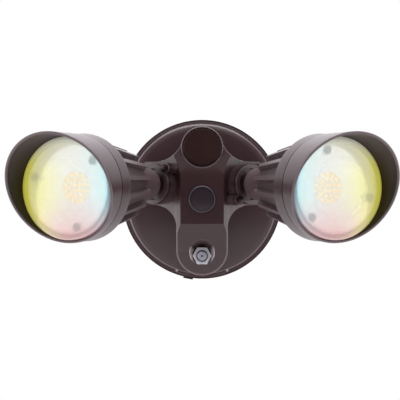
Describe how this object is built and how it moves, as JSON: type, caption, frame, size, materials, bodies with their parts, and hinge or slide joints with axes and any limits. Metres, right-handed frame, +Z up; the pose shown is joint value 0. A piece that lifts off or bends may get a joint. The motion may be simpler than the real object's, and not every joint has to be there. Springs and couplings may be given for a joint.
{
  "type": "security flood light",
  "caption": "Outdoor security flood light: finned, hooded lamp heads on swivels from a round wall canopy with a cross-shaped housing and photocell.",
  "frame": {"origin": "middle of the canopy's back, on the wall", "axes": "+X to the right seen from the front, +Y into the wall, +Z up; the light faces -Y"},
  "size_m": [0.2836, 0.1851, 0.1283],
  "materials": {
    "bronze_paint": "dark bronze powder coat, satin, over die-cast aluminium",
    "plug_paint": "brown powder coat, satin",
    "black_foam": "closed-cell foam",
    "black_rubber": "smooth rubber",
    "zinc_steel": "zinc plated",
    "green_steel": "green passivated",
    "dark_steel": "dark coated",
    "dark_plastic": "matte",
    "photocell_plastic": "smoked, slightly glossy",
    "driver_plastic": "matte",
    "board_white": "white solder mask",
    "led_yellow": "yellow phosphor",
    "reflector_white": "satin white",
    "lens_glass": "clear, polished"
  },
  "bodies": {
    "base": {"canopy": "bronze_paint", "driver_screws": "zinc_steel", "ground_screw": "green_steel", "led_driver": "driver_plastic", "mounting_nut": "zinc_steel", "mounting_plate": "zinc_steel", "mounting_stud": "zinc_steel", "mounting_washer": "black_rubber", "photocell_case": "dark_plastic", "photocell_nut": "dark_plastic", "photocell_window": "photocell_plastic", "plug_sealing_ring": "black_rubber", "port_plug": "plug_paint", "wall_gasket": "black_foam", "left_swivel_collar": "bronze_paint", "left_collar_screws": "dark_steel", "left_port_sealing_ring": "black_rubber", "right_swivel_collar": "bronze_paint", "right_collar_screws": "dark_steel", "right_port_sealing_ring": "black_rubber"},
    "left_swivel": {"left_swivel": "bronze_paint", "left_spigot_nut": "zinc_steel"},
    "left_head": {"left_heat_sink": "bronze_paint", "left_hinge_pin": "dark_steel", "left_hood": "bronze_paint", "left_hood_gasket": "black_foam", "left_hood_screws": "dark_steel", "left_led_board": "board_white", "left_led_chips": "led_yellow", "left_lens": "lens_glass", "left_lens_gasket": "black_foam", "left_reflector": "reflector_white", "left_reflector_screws": "zinc_steel"},
    "right_swivel": {"right_swivel": "bronze_paint", "right_spigot_nut": "zinc_steel"},
    "right_head": {"right_heat_sink": "bronze_paint", "right_hinge_pin": "dark_steel", "right_hood": "bronze_paint", "right_hood_gasket": "black_foam", "right_hood_screws": "dark_steel", "right_led_board": "board_white", "right_led_chips": "led_yellow", "right_lens": "lens_glass", "right_lens_gasket": "black_foam", "right_reflector": "reflector_white", "right_reflector_screws": "zinc_steel"}
  },
  "joints": [
    {"name": "left_swivel_turn", "type": "hinge", "parent": "base", "child": "left_swivel", "pos_m": [-0.0455, -0.052, 0.0118], "axis": [-0.6157, -0.788, 0], "range_deg": [-170, 170]},
    {"name": "left_head_tilt", "type": "hinge", "parent": "left_swivel", "child": "left_head", "pos_m": [-0.0455, -0.052, 0.0118], "axis": [0.136, -0.1062, 0.985], "range_deg": [-47.5, 24.3]},
    {"name": "right_swivel_turn", "type": "hinge", "parent": "base", "child": "right_swivel", "pos_m": [0.0455, -0.052, 0.0118], "axis": [0.6157, -0.788, 0], "range_deg": [-170, 170]},
    {"name": "right_head_tilt", "type": "hinge", "parent": "right_swivel", "child": "right_head", "pos_m": [0.0455, -0.052, 0.0118], "axis": [-0.136, -0.1062, 0.985], "range_deg": [-24.3, 47.5]}
  ]
}
